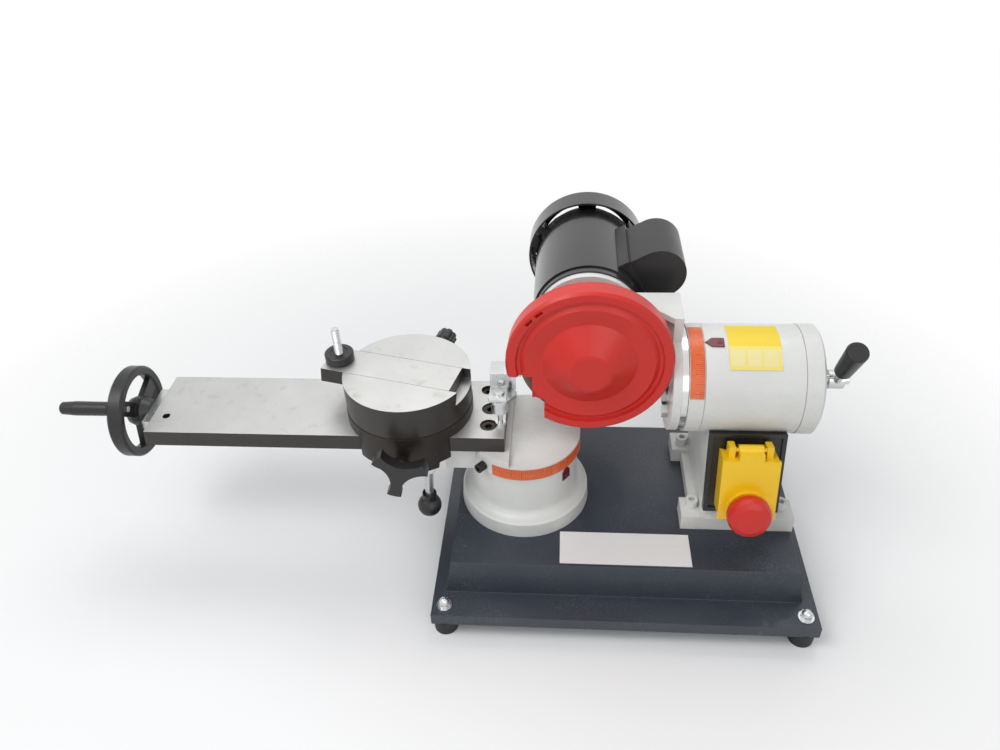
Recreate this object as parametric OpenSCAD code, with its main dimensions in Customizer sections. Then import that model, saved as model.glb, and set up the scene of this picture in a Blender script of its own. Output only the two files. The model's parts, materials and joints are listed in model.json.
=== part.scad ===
// Circular saw blade sharpener: a base tray carries a swivelling blade table on the left
// and a tilting, sliding grinding head on the right. Millimetres, +Z up.

/* [Base tray] */
// Width of the base flange
base_w = 365; // [340:1:420]
// Depth of the base flange
base_d = 272; // [250:1:320]
// Height of the flange rim
rim_h = 13; // [10:1:18]
// Height of the plinth above the flange
plinth_h = 36; // [30:1:45]
// Inset of the plinth top at the sides
plinth_in_x = 18; // [14:1:24]
// Inset of the plinth top at the front and back
plinth_in_y = 35; // [28:1:40]
// Outward slope of each plinth wall at its foot
plinth_slope = 6; // [2:1:8]
// Sheet thickness of the tray
sheet = 3; // [2:0.5:4]
// Height of the rubber feet
foot_h = 18; // [14:1:24]
// Radius of the rubber feet
foot_r = 13; // [10:0.5:14]

/* [Blade table] */
// Pedestal centre, left of the base centre
table_x = 97; // [92:1:102]
// Radius of the pedestal flange
ped_flange_r = 65; // [62:1:72]
// Thickness of the pedestal flange
ped_flange_h = 17; // [12:1:20]
// Radius of the pedestal body
ped_r = 53; // [50:0.5:54]
// Height of the pedestal body above its flange
ped_body_h = 51; // [46:1:60]
// Radius of the rotary table
table_r = 55.5; // [55:0.5:58]
// Height of the rotary table disc
table_h = 15; // [12:1:18]
// Height of the raised step that carries the bar
step_h = 6; // [4:1:9]

/* [Slide bar] */
// Length of the bar
bar_l = 350; // [330:1:400]
// Width of the bar
bar_w = 87; // [80:1:92]
// Thickness of the bar
bar_t = 17; // [15:1:20]
// Radius of the lead screw
screw_r = 5; // [4:0.5:5.5]
// Radius of the handwheel
wheel_r = 46; // [40:1:50]
// Length of the crank grip
crank_l = 50; // [40:1:60]

/* [Carriage] */
// Distance from the bar's right end to the carriage centre
carriage_in = 94.4; // [90:0.2:110]
// Radius of the turntable and saddle
disc_r = 61; // [58:1:64]
// Height of the turntable
disc_h = 33; // [28:1:36]
// Height of the saddle above the bar
saddle_h = 12; // [10:1:16]
// Depth of the saddle skirts below the bar
skirt_h = 7; // [5:1:9]
// Turn of the dovetail slot from the bar
slot_turn = 14; // [0:1:20]
// Top width of the dovetail strip
strip_w = 36; // [30:1:40]
// Thickness of the dovetail strip
strip_t = 13; // [10:1:15]
// Length of the dovetail strip
strip_l = 132; // [125:1:150]
// Radius of the blade stud
stud_r = 4; // [3:0.5:5]
// Height of the stud above the turntable
stud_h = 36; // [28:1:45]

/* [Grinding head] */
// Height of the head axis above the floor
head_z = 208.3; // [205:0.5:214]
// Radius of the head housing
head_r = 51; // [50:0.5:54]
// Length of the head housing
head_l = 87; // [80:1:96]
// Radius of the tilt sleeve
sleeve_r = 42; // [40:0.5:43]
// Radius of the quill
quill_r = 30; // [26:0.5:32]
// Thickness of the end cap
cap_t = 17; // [13:1:20]
// Width of the column
column_w = 72; // [66:1:78]

/* [Motor and wheel] */
// Height of the spindle above the head axis
spindle_up = 44.7; // [40:0.5:52]
// Radius of the motor body
motor_r = 53; // [51:0.5:56]
// Length of the motor body
motor_l = 122; // [110:1:140]
// Radius of the fan cover
fan_cover_r = 61; // [58:0.5:64]
// Radius of the grinding wheel
grind_r = 62.5; // [55:0.5:64]
// Thickness of the grinding wheel
grind_t = 8; // [6:1:9]
// Outer radius of the wheel guard
guard_r = 74.5; // [74:0.5:80]
// Wall of the wheel guard
guard_wall = 3; // [2:0.5:4]

/* [Fits] */
// Radial running clearance of shafts and sleeves
run = 0.05; // [0.03:0.01:0.1]
// Clearance between pieces that pass each other
gap = 0.3; // [0.3:0.1:0.6]

/* [Hidden] */
$fn = 64;
e = 0.01;

base_z = foot_h;
flange_z = base_z + rim_h;
plinth_z = flange_z + plinth_h;
foot_x = base_w / 2 - 12;
foot_y = base_d / 2 - 12.5;

tx = -table_x;
ty = -1.6;
ped_top = plinth_z + ped_flange_h + ped_body_h;
table_z = ped_top + gap;
table_top = table_z + table_h;
bar_z = table_top + step_h;
bar_top = bar_z + bar_t;
bar_y = 3;
bar_right = tx - 16.6;
bar_left = bar_right - bar_l;
screw_z = bar_z + 6.5;
groove_w = 2 * screw_r + 12;
groove_h = 13;
cx = bar_right - carriage_in;
saddle_top = bar_top + saddle_h;
disc_z = saddle_top + gap;
disc_top = disc_z + disc_h;
stud_in = 12;

hy = 12.6;
column_in = 70.4;
column_x = base_w / 2 - column_in;
house_x = column_x - 1.5 - head_l / 2;
ring_x = house_x - 14.1;
cap_x = house_x + head_l + gap;
cap_end = cap_x + cap_t;
sx = house_x - 105.1 + 2;
sz = head_z + spindle_up;
wheel_y = -20;
guard_y = -31;
guard_back_y = -11;
face_y = 44;
tail_end = cap_end + 35;
tail_r = 5;

// overall reach, used to put the origin under the middle of the machine
reach_left = bar_left - 41 - crank_l;
reach_right = tail_end;
mid_x = (reach_left + reach_right) / 2;
mid_y = ((-foot_y - foot_r) + (face_y + motor_l + 26)) / 2;

module place() { translate([-mid_x, -mid_y, 0]) children(); }
module at_table() { translate([tx, ty, 0]) children(); }
module at_carriage() { translate([cx, bar_y, 0]) children(); }
module at_slot() { at_carriage() rotate(-slot_turn) children(); }
module along_x(x0, x1, r, y = hy, z = head_z) {
    translate([x0, y, z]) rotate([0, 90, 0]) cylinder(h = x1 - x0, r = r);
}
module along_y(y0, y1, r, x = sx, z = sz) {
    translate([x, y0, z]) rotate([-90, 0, 0]) cylinder(h = y1 - y0, r = r);
}
module box(x0, x1, y0, y1, z0, z1) { translate([x0, y0, z0]) cube([x1 - x0, y1 - y0, z1 - z0]); }
module hex(af, h) { cylinder(h = h, r = af / sqrt(3), $fn = 6); }
module corners(x, y) { for (i = [-1, 1], j = [-1, 1]) translate([i * x, j * y, 0]) children(); }
module sector(r0, r1, h, a0, a1) {
    rotate(a0) rotate_extrude(angle = a1 - a0) translate([r0, 0]) square([r1 - r0, h]);
}

// ---- base ----
module plinth(off, z1) {
    w1 = base_w - 2 * plinth_in_x - 2 * off;
    d1 = base_d - 2 * plinth_in_y - 2 * off;
    hull() {
        translate([0, 0, flange_z - e]) linear_extrude(e)
            square([w1 + 2 * plinth_slope, d1 + 2 * plinth_slope], center = true);
        translate([0, 0, z1 - e]) linear_extrude(e) square([w1, d1], center = true);
    }
}
column_pads = [for (i = [-1, 1], j = [-1, 1]) [column_x + i * 43, hy + j * 46]];
ped_screws = [for (a = [45 : 90 : 315]) [tx + 50 * cos(a), ty + 50 * sin(a)]];
module base_tray() {
    color([0.13, 0.16, 0.2]) difference() {
        union() {
            difference() {
                translate([-base_w / 2, -base_d / 2, base_z]) cube([base_w, base_d, rim_h]);
                translate([-base_w / 2 + sheet, -base_d / 2 + sheet, base_z - 1])
                    cube([base_w - 2 * sheet, base_d - 2 * sheet, rim_h - sheet + 1]);
            }
            corners(foot_x, foot_y) translate([-11.5, -12, base_z]) cube([23, 24, rim_h]);
            plinth(0, plinth_z);
        }
        plinth(sheet, plinth_z - sheet);
        translate([0, 0, flange_z - sheet - e]) linear_extrude(sheet + 3 * e)
            square([base_w - 2 * (plinth_in_x - plinth_slope + sheet),
                base_d - 2 * (plinth_in_y - plinth_slope + sheet)], center = true);
        corners(foot_x, foot_y) translate([0, 0, base_z - 1]) cylinder(h = rim_h + 2, r = 3.2);
        for (p = concat(column_pads, ped_screws))
            translate([p[0], p[1], plinth_z - sheet - 1]) cylinder(h = sheet + 2, r = 4.3);
    }
}
module rubber_feet() {
    color([0.05, 0.05, 0.05]) corners(foot_x, foot_y) difference() {
        cylinder(h = foot_h, r1 = foot_r - 1.5, r2 = foot_r);
        translate([0, 0, -1]) cylinder(h = foot_h + 2, r = 3.2);
        translate([0, 0, -1]) cylinder(h = 8, r = 7);
    }
}
module foot_bolts() {
    color([0.7, 0.7, 0.72]) corners(foot_x, foot_y) {
        translate([0, 0, 3]) hex(10, 4);
        translate([0, 0, 6.9]) cylinder(h = flange_z - 3, r = 3);
    }
    color([0.8, 0.8, 0.82]) corners(foot_x, foot_y) translate([0, 0, flange_z]) difference() {
        union() {
            cylinder(h = 1.2, r = 7.5);
            translate([0, 0, 1.1]) hex(10, 4.5);
            translate([0, 0, 5]) sphere(r = 4.8);
        }
        translate([0, 0, -1]) cylinder(h = 6.2, r = 3.05);
        translate([0, 0, -10]) cylinder(h = 10, r = 9);
    }
}
module name_plate() {
    color([0.95, 0.95, 0.95]) box(-60, 65, -98, -58.5, plinth_z, plinth_z + 0.6);
}

// ---- blade table ----
spigot_r = 40;
spigot_h = 9;
pivot_r = 8;
module table_pedestal() {
    fillet = 9;
    z0 = plinth_z;
    z1 = plinth_z + ped_flange_h;
    color([0.86, 0.87, 0.86]) at_table() difference() {
        rotate_extrude() polygon(concat(
            [[0, z0], [ped_flange_r, z0], [ped_flange_r - 1, z1 - 2], [ped_flange_r - 3, z1]],
            [for (a = [0 : 15 : 90]) [ped_r + fillet - fillet * sin(a), z1 + fillet - fillet * cos(a)]],
            [[ped_r, ped_top], [spigot_r, ped_top], [spigot_r, ped_top + spigot_h],
                [0, ped_top + spigot_h]]));
        translate([0, 0, z0 - 1]) cylinder(h = ped_top - z0 - 11, r = ped_r - 11);
        translate([0, 0, z0]) cylinder(h = ped_top, r = pivot_r + run);
        for (a = [45 : 90 : 315]) rotate(a) translate([50, 0, z0 - 1]) cylinder(h = 15, r = 4);
    }
}
module pointer_plate(l) {
    linear_extrude(1) difference() {
        polygon([[-5, 0], [5, 0], [5, l - 6], [0, l], [-5, l - 6]]);
        translate([0, 4]) circle(r = 1.6);
    }
    translate([0, 4, 0]) cylinder(h = 0.8, r = 1.5);
    translate([0, 4, 0.5]) cylinder(h = 1.2, r1 = 2.4, r2 = 1.6);
}
module rotary_table() {
    arm_l = 75;
    color([0.84, 0.84, 0.83]) difference() {
        union() {
            at_table() translate([0, 0, table_z]) cylinder(h = table_h, r = table_r);
            intersection() {
                at_table() translate([0, 0, table_top - e]) cylinder(h = step_h + e, r = table_r);
                box(tx - 80, bar_right + 5, -80, 80, table_top - e, bar_z);
            }
            box(tx - arm_l, tx - 30, bar_y - 36, bar_y + 36, table_z - 8, bar_z);
        }
        at_table() translate([0, 0, table_z - 20]) cylinder(h = 20, r = ped_r + 1);
        at_table() translate([0, 0, table_z - 1]) cylinder(h = spigot_h + 1 + gap, r = spigot_r + run);
        at_table() translate([0, 0, table_z]) cylinder(h = table_h - 4, r = pivot_r);
        at_table() rotate(-131) translate([0, 0, table_z + 7]) rotate([0, 90, 0])
            translate([0, 0, 41]) cylinder(h = 30, r = 3);
        for (s = bar_screw_at) translate([s[0], s[1], bar_z - 15]) cylinder(h = 20, r = s[2] * 0.6);
    }
}
module table_pivot_bolt() {
    color([0.55, 0.55, 0.57]) at_table() {
        translate([0, 0, ped_top - 27]) cylinder(h = table_top - ped_top + 23, r = pivot_r - e);
        translate([0, 0, ped_top - 25.5]) difference() {
            hex(24, 12.8);
            translate([0, 0, -1]) cylinder(h = 15, r = pivot_r - 2 * e);
        }
    }
}
module table_scale() {
    color([0.9, 0.32, 0.08]) at_table() {
        translate([0, 0, table_z + 1]) sector(table_r + 0.02, table_r + 0.6, table_h - 2.5, -120, -8);
    }
}
module table_lock_screw() {
    color([0.06, 0.06, 0.06]) at_table() rotate(-131) translate([0, 0, table_z + 7])
        rotate([0, 90, 0]) {
            translate([0, 0, 41]) cylinder(h = 16, r = 2.9);
            translate([0, 0, table_r + 0.4]) difference() {
                cylinder(h = 8, r = 4.6);
                translate([0, 0, 4]) hex(5, 5);
            }
        }
}

// ---- slide bar ----
bar_screw_at = [[bar_right - 20, bar_y + 29, 5.5], [bar_right - 15.5, bar_y, 7],
    [bar_right - 16, bar_y - 24.5, 6.5]];
module slide_bar() {
    color([0.62, 0.62, 0.63]) difference() {
        box(bar_left, bar_right, bar_y - bar_w / 2, bar_y + bar_w / 2, bar_z, bar_top);
        box(bar_left - 1, bar_right - 36, bar_y - groove_w / 2, bar_y + groove_w / 2,
            bar_z - 1, bar_z + groove_h);
        for (s = bar_screw_at) translate([s[0], s[1], 0]) {
            translate([0, 0, bar_z - 1]) cylinder(h = bar_t + 2, r = s[2] * 0.65);
            translate([0, 0, bar_top - 9]) cylinder(h = 10, r = s[2] + 1.6);
        }
        translate([bar_left + 13.6, bar_y - 4.4 - 15, bar_top - 9]) cylinder(h = 10, r = 3.8);
        along_x(bar_right - 12, bar_right + 1, 3, bar_y - 9, bar_z + 9);
        translate([tx - 21, -19, bar_top - 9]) cylinder(h = 10, r = 2.5);
    }
}
module bar_screws() {
    color([0.05, 0.05, 0.05]) for (s = bar_screw_at) translate([s[0], s[1], 0]) {
        translate([0, 0, bar_z - 11]) cylinder(h = bar_t + 3, r = s[2] * 0.58);
        translate([0, 0, bar_top - 9]) difference() {
            cylinder(h = s[2] + 1, r = s[2] + 1);
            translate([0, 0, 3.5]) hex(s[2], 8);
        }
    }
}
module screw_bearing() {
    color([0.6, 0.6, 0.61]) difference() {
        box(bar_left - 10, bar_left, bar_y - 26, bar_y + 26, bar_z - 5, bar_top - 3);
        along_x(bar_left - 11, bar_left + 1, screw_r + run, bar_y, screw_z);
    }
}
module lead_screw() {
    color([0.7, 0.7, 0.72]) {
        along_x(bar_left - 30, bar_right - 46, screw_r, bar_y, screw_z);
        along_x(bar_left + gap, bar_left + 5, screw_r + 1.2, bar_y, screw_z);
    }
}
hub_x = bar_left - 10 - gap;
rim_r = wheel_r - 9;
spoke_w = 15;
module handwheel() {
    color([0.05, 0.05, 0.05]) translate([hub_x, bar_y, screw_z]) rotate([0, -90, 0]) difference() {
        union() {
            rotate_extrude() polygon([[0, 0], [11, 0], [15, 8], [15, 17], [13, 22], [0, 22]]);
            rotate_extrude() polygon([[rim_r, 12], [rim_r + 1, 10.5], [wheel_r - 2, 10], [wheel_r, 12],
                [wheel_r, 23], [wheel_r - 2, 25], [rim_r + 3, 25], [rim_r, 21]]);
            for (a = [0 : 120 : 240]) rotate(crank_at + a) translate([8, -spoke_w / 2, 12])
                cube([rim_r - 5, spoke_w, 6]);
        }
        translate([0, 0, -1]) cylinder(h = 24, r = screw_r + run);
        rotate(crank_at) translate([crank_off, 0, 5]) cylinder(h = 25, r = 3);
    }
}
crank_at = -47;
crank_off = wheel_r - 15;
module at_crank() {
    translate([hub_x, bar_y, screw_z]) rotate([0, -90, 0]) rotate(crank_at)
        translate([crank_off, 0, 0]) children();
}
module crank_pin() {
    color([0.7, 0.7, 0.72]) at_crank() {
        translate([0, 0, 10]) cylinder(h = 20.5 + crank_l - 6, r = 2.95);
        translate([0, 0, 18.1]) cylinder(h = 9.9, r = 5.5);
        translate([0, 0, 24 + crank_l]) cylinder(h = 2, r = 3.5);
    }
}
module crank_grip() {
    color([0.05, 0.05, 0.05]) at_crank() translate([0, 0, 28.4]) difference() {
        rotate_extrude() polygon([[0, 0], [6, 0], [7, 2], [7.2, crank_l * 0.7], [6.8, crank_l * 0.7],
            [6.8, crank_l * 0.73], [7, crank_l * 0.73], [6.2, crank_l - 1.5], [5, crank_l],
            [0, crank_l]]);
        translate([0, 0, -1]) cylinder(h = crank_l - 5, r = 2.95 + run);
        translate([0, 0, crank_l - 6]) cylinder(h = 7, r = 3.8);
    }
}

// ---- carriage ----
module saddle() {
    color([0.12, 0.1, 0.09]) difference() {
        at_carriage() translate([0, 0, bar_z - skirt_h]) cylinder(h = saddle_top - bar_z + skirt_h,
            r = disc_r + 0.5, $fn = 96);
        box(cx - 90, cx + 90, bar_y - bar_w / 2 - gap, bar_y + bar_w / 2 + gap,
            bar_z - skirt_h - 1, bar_top + gap);
        at_carriage() translate([0, 0, bar_top - 1]) cylinder(h = 40, r = 6 + run);
        translate([cx, 0, star_z]) rotate([90, 0, 0]) cylinder(h = 90, r = 4 + run);
    }
}
plate_t = 7;
module saddle_plate() {
    color([0.14, 0.12, 0.11]) difference() {
        union() {
            intersection() {
                box(cx - 32, cx + 32, bar_y - 60, bar_y + 60, bar_z - skirt_h - plate_t,
                    bar_z - skirt_h);
                at_carriage() cylinder(h = 400, r = disc_r);
            }
            box(cx - 32, cx + 32, bar_y - bar_w / 2, bar_y + bar_w / 2, bar_z - skirt_h - e,
                bar_z - gap);
            box(lever_x - 8, lever_x + 8, -34, -26, lever_z - 8, bar_z - skirt_h - plate_t + e);
        }
        along_y(-70, -20, 3 + run, lever_x, lever_z);
        for (i = [-1, 1], j = [-1, 1])
            translate([cx + i * 20, bar_y + j * 51, 0]) cylinder(h = 300, r = 3);
    }
}
module feed_nut() {
    color([0.75, 0.6, 0.3]) difference() {
        box(cx - 16, cx + 16, bar_y - groove_w / 2 + gap, bar_y + groove_w / 2 - gap,
            bar_z - gap, bar_z + groove_h - 1);
        along_x(cx - 30, cx + 30, screw_r + run, bar_y, screw_z);
    }
}
dove_in = 3;
module dovetail(w, z0, h, l0, l1) {
    translate([l0, 0, z0]) rotate([90, 0, 90]) linear_extrude(l1 - l0)
        polygon([[-w / 2 - dove_in, 0], [w / 2 + dove_in, 0], [w / 2, h], [-w / 2, h]]);
}
strip_s0 = -disc_r - 21;
module turntable() {
    color([0.62, 0.62, 0.63]) difference() {
        at_carriage() translate([0, 0, disc_z]) cylinder(h = disc_h, r = disc_r, $fn = 96);
        at_slot() dovetail(strip_w + 2 * gap, disc_top - strip_t - gap, strip_t + gap + e, -90, 90);
        at_carriage() translate([0, 0, disc_z - 1]) cylinder(h = 13, r = 6);
        at_slot() translate([10, 0, disc_z + 20]) rotate([-90, 0, 0])
            translate([0, 0, 24]) cylinder(h = 60, r = 3 + run);
    }
}
module turntable_bolt() {
    color([0.6, 0.6, 0.62]) at_carriage()
        translate([0, 0, bar_top + 1]) cylinder(h = saddle_h + 11, r = 6 - e);
}
module dovetail_strip() {
    color([0.66, 0.66, 0.67]) difference() {
        at_slot() dovetail(strip_w, disc_top - strip_t, strip_t, strip_s0, strip_s0 + strip_l);
        at_slot() translate([strip_s0 + stud_in, 0, disc_top - strip_t + 3])
            cylinder(h = 20, r = shank_r + 0.01);
    }
}
shank_r = stud_r + 0.2;
shank_h = 10;
module blade_stud() {
    color([0.78, 0.78, 0.78]) at_slot() translate([strip_s0 + stud_in, 0, disc_top - strip_t + 3]) {
        cylinder(h = strip_t - 3 + shank_h, r = shank_r);
        cylinder(h = strip_t - 3 + stud_h - 1, r = stud_r - e);
        translate([0, 0, strip_t - 4 + stud_h]) cylinder(h = 1, r1 = stud_r - e, r2 = stud_r - 1);
    }
}
module thumb_nut() {
    color([0.06, 0.06, 0.06]) at_slot() translate([strip_s0 + stud_in, 0, disc_top + gap]) difference() {
        rotate_extrude() polygon([[0, 0], [13, 0], [14, 1], [14, 8], [13, 9], [9, 9], [8, 8], [0, 8]]);
        translate([0, 0, -1]) cylinder(h = 12, r = shank_r + run);
    }
}
star_z = bar_z + 6;
module star_knob() {
    color([0.06, 0.06, 0.06]) translate([cx, 0, star_z]) rotate([90, 0, 0]) {
        translate([0, 0, bar_w / 2 - bar_y + 0.4]) cylinder(h = 34, r = 4);
        translate([0, 0, disc_r - bar_y + 6]) cylinder(h = 8, r1 = 8, r2 = 10);
        translate([0, 0, disc_r - bar_y + 13]) linear_extrude(11) difference() {
            circle(r = 27);
            for (a = [-45, 75, 195]) rotate(a) translate([34, 0]) circle(r = 24.5);
        }
    }
}
module rear_knob() {
    color([0.06, 0.06, 0.06]) at_slot() translate([10, 0, disc_z + 20]) rotate([-90, 0, 0]) {
        translate([0, 0, 24.5]) cylinder(h = 45, r = 3);
        translate([0, 0, disc_r + 2]) cylinder(h = 5, r1 = 6, r2 = 9);
        translate([0, 0, disc_r + 6.9]) difference() {
            cylinder(h = 14, r = 10);
            for (a = [0 : 45 : 315]) rotate(a) translate([11.5, 0, -1]) cylinder(h = 16, r = 2.5);
        }
    }
}
lever_x = cx + 20;
lever_z = bar_z - skirt_h - plate_t - 7;
module clamp_lever() {
    color([0.65, 0.63, 0.6]) {
        along_y(-44, -34.4, 7, lever_x, lever_z);
        along_y(-34.5, -21, 3, lever_x, lever_z);
        translate([lever_x, -39.4, lever_z]) rotate([0, 184, 0]) cylinder(h = 44, r = 4.2);
    }
}
module ball_knob() {
    color([0.05, 0.05, 0.05]) translate([lever_x, -39.4, lever_z]) rotate([0, 184, 0]) difference() {
        union() {
            translate([0, 0, 37]) cylinder(h = 8, r = 7);
            translate([0, 0, 54]) sphere(r = 12);
        }
        translate([0, 0, 30]) cylinder(h = 14.1, r = 4.2);
    }
}

// ---- tooth stop ----
stop_x = tx - 21;
stop_y = -19;
finger_z = bar_top + 31;
tip_r = 6.5;
tip_x = tx - 5 - tip_r;
tip_y = stop_y + 4;
plate_end = stop_x + 20;
module stop_bracket() {
    color([0.74, 0.76, 0.78]) difference() {
        union() {
            box(stop_x - 9, stop_x + 15, -10, -7, finger_z + 4, finger_z + 22);
            box(stop_x - 9, plate_end, -10, 10, finger_z + 19, finger_z + 22);
            box(stop_x - 9, stop_x + 7, -30, -7, finger_z + 4, finger_z + 7);
        }
        translate([plate_end + 2, 0, finger_z + 18]) cylinder(h = 5, r = 6.5);
        translate([stop_x, stop_y, finger_z]) cylinder(h = 10, r = 3);
        translate([stop_x + 1, 0, finger_z + 12]) rotate([90, 0, 0]) cylinder(h = 20, r = 2.6);
    }
}
module stop_bolt() {
    color([0.72, 0.72, 0.74]) translate([stop_x, stop_y, 0]) {
        translate([0, 0, bar_top - 8]) cylinder(h = finger_z - bar_top + 15, r = 2.45);
        translate([0, 0, finger_z + 7]) cylinder(h = 2.4, r = 5);
        translate([0, 0, bar_top]) cylinder(h = 3, r = 5);
        translate([0, 0, bar_top + 17]) cylinder(h = 13.7, r = 8);
    }
}
module stop_finger() {
    color([0.72, 0.74, 0.77]) difference() {
        hull() {
            translate([stop_x, stop_y - 1, finger_z]) cylinder(h = 3.7, r = 10.5, $fn = 32);
            translate([tip_x, tip_y, finger_z]) cylinder(h = 3.7, r = tip_r, $fn = 32);
        }
        translate([stop_x, stop_y, finger_z - 1]) cylinder(h = 6, r = 2.45 + run);
        translate([tip_x, tip_y, finger_z - 1]) cylinder(h = 6, r = 1.5);
    }
    color([0.05, 0.05, 0.05]) translate([tip_x, tip_y, finger_z]) cylinder(h = 9, r = 1.48);
}

// ---- head column ----
lean = 13.3;
col_front = -50;
module head_column() {
    x0 = column_x - column_w / 2;
    color([0.87, 0.87, 0.85]) difference() {
        union() {
            along_x(house_x, house_x + head_l, head_r);
            translate([x0, 0, 0]) rotate([90, 0, 90]) linear_extrude(column_w)
                polygon([[col_front, plinth_z], [col_front, plinth_z + 15],
                    [col_front + 23.6, plinth_z + 115], [hy, head_z], [hy + 40, plinth_z + 110],
                    [hy + 52, plinth_z + 15], [hy + 52, plinth_z]]);
            box(x0 - 8, x0 + column_w + 8, col_front + 8, hy + 52, plinth_z, plinth_z + 13);
            for (p = column_pads) box(p[0] - 11, p[0] + 11, p[1] - (p[1] < hy ? 16.6 : 12),
                p[1] + (p[1] < hy ? 10 : 15), plinth_z, plinth_z + 17);
        }
        along_x(house_x - 1, house_x + head_l + 1, sleeve_r + run);
        for (p = column_pads) translate([p[0], p[1], plinth_z - 1]) cylinder(h = 20, r = 4.2);
        switch_at() translate([-24, -1, -30]) cube([48, 26, 60]);
        translate([house_x + 43, hy, head_z]) rotate([-90, 0, 0]) cylinder(h = 80, r = 4 + run);
    }
}
module floor_bolts() {
    color([0.6, 0.6, 0.62]) for (p = ped_screws) translate([p[0], p[1], 0]) {
        translate([0, 0, plinth_z - sheet - 5.3]) hex(13, 5.3);
        translate([0, 0, plinth_z - sheet - 1]) cylinder(h = sheet + 13, r = 3.9);
    }
    color([0.3, 0.3, 0.32]) for (p = column_pads) translate([p[0], p[1], 0]) {
        translate([0, 0, plinth_z - sheet - 9]) cylinder(h = sheet + 27, r = 4);
        translate([0, 0, plinth_z + 17]) difference() {
            cylinder(h = 8, r = 6);
            translate([0, 0, 4]) hex(6, 6);
        }
        translate([0, 0, plinth_z - sheet - 6]) difference() {
            rotate(30) hex(12, 6);
            translate([0, 0, -1]) cylinder(h = 8, r = 3.95);
        }
    }
}
module pointers() {
    color([0.3, 0.06, 0.1]) at_table() rotate(-38) translate([ped_r, 0, ped_top - 17])
        rotate([90, 0, 90]) pointer_plate(16);
    color([0.3, 0.06, 0.1]) translate([house_x + 17, hy, head_z]) rotate([15, 0, 0])
        translate([0, 0, head_r]) rotate([0, 0, 90]) pointer_plate(17);
}
lock_z = head_r - 0.9;
module head_lock_screw() {
    color([0.1, 0.1, 0.1]) translate([house_x + 43, hy, head_z]) rotate([-90, 0, 0]) difference() {
        union() {
            translate([0, 0, sleeve_r + 0.1]) cylinder(h = 12, r = 4);
            translate([0, 0, lock_z + 0.9]) cylinder(h = 9, r = 6.5);
        }
        translate([0, 0, lock_z + 5]) hex(6, 6);
    }
}
module end_cap() {
    color([0.86, 0.86, 0.84]) difference() {
        union() {
            along_x(cap_x, cap_end - 2, head_r + 0.5);
            translate([cap_end - 2, hy, head_z]) rotate([0, 90, 0])
                cylinder(h = 2, r1 = head_r + 0.5, r2 = head_r - 2);
        }
        along_x(cap_x - 1, cap_end + 1, tail_r + gap);
    }
}
arm_x = cap_end + 22;
grip_dir = 28.7;
grip_from = 20.5;
grip_l = 44;
module at_grip() { translate([arm_x, hy - 3.5, head_z]) rotate([grip_dir, 0, 0]) children(); }
module operating_arm() {
    color([0.78, 0.77, 0.76]) difference() {
        union() {
            along_x(arm_x - 7, arm_x + 7, 9);
            at_grip() cylinder(h = grip_from + grip_l - 10, r = 4);
        }
        along_x(arm_x - 8, arm_x + 8, tail_r + e);
    }
}
module arm_grip() {
    color([0.05, 0.05, 0.05]) at_grip() translate([0, 0, grip_from]) difference() {
        rotate_extrude() polygon([[0, 0], [7, 0], [8.2, 3], [10, grip_l - 2], [9, grip_l], [0, grip_l]]);
        translate([0, 0, -1]) cylinder(h = grip_l - 8.9, r = 4 + e);
    }
}

// ---- grinding head ----
module tilt_sleeve() {
    color([0.87, 0.87, 0.85]) difference() {
        union() {
            along_x(ring_x, house_x - gap, head_r);
            along_x(house_x - gap - e, house_x + head_l - 4, sleeve_r);
        }
        along_x(ring_x - 1, house_x + head_l, quill_r + run);
    }
}
module tilt_scale() {
    color([0.9, 0.32, 0.08]) translate([ring_x + 0.5, hy, head_z]) rotate([90, 0, 90])
        sector(head_r + 0.02, head_r + 0.6, house_x - ring_x - 1.5, 80, 165);
}
bolt_ring = 31;
bolt_angles = [30, 135, 225, 330];
module quill() {
    color([0.72, 0.72, 0.73]) difference() {
        union() {
            along_x(ring_x - 6, ring_x - gap, head_r - 2);
            along_x(ring_x - 1, house_x + head_l - 6, quill_r);
            along_x(house_x + head_l - 7, tail_end - 1, tail_r);
            translate([tail_end - 1, hy, head_z]) rotate([0, 90, 0])
                cylinder(h = 1, r1 = tail_r, r2 = tail_r - 1);
        }
        along_x(ring_x - 7, house_x + head_l - 20, 17);
        bracket_holes() cylinder(h = 20, r = 4);
    }
}
module bracket_holes() {
    for (a = bolt_angles) translate([ring_x - 16, hy, head_z]) rotate([a, 0, 0])
        translate([0, 0, bolt_ring]) rotate([0, 90, 0]) children();
}
module motor_bracket() {
    x1 = ring_x - 6;
    x0 = x1 - 8;
    top = sz + 29;
    color([0.87, 0.87, 0.86]) difference() {
        union() {
            along_x(x0, x1, head_r - 1);
            box(x0, x1, hy - 12, face_y, head_z, top);
            along_y(face_y - 7, face_y, 50);
            box(sx, x1, face_y - 7, face_y, sz - 40, top);
            translate([0, 0, top - 6]) linear_extrude(6)
                polygon([[sx + 36, face_y - 6], [x1, face_y - 6], [x1, hy - 12], [x0, hy - 12]]);
        }
        along_x(x0 - 1, x1 + 1, 17);
        along_y(face_y - 10, face_y + 1, 26);
        bracket_holes() cylinder(h = 20, r = 4.3);
        for (a = [45 : 90 : 315]) translate([sx, 0, sz]) rotate([0, a, 0])
            translate([0, face_y - 10, 40]) rotate([-90, 0, 0]) cylinder(h = 20, r = 3.2);
    }
}
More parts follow.
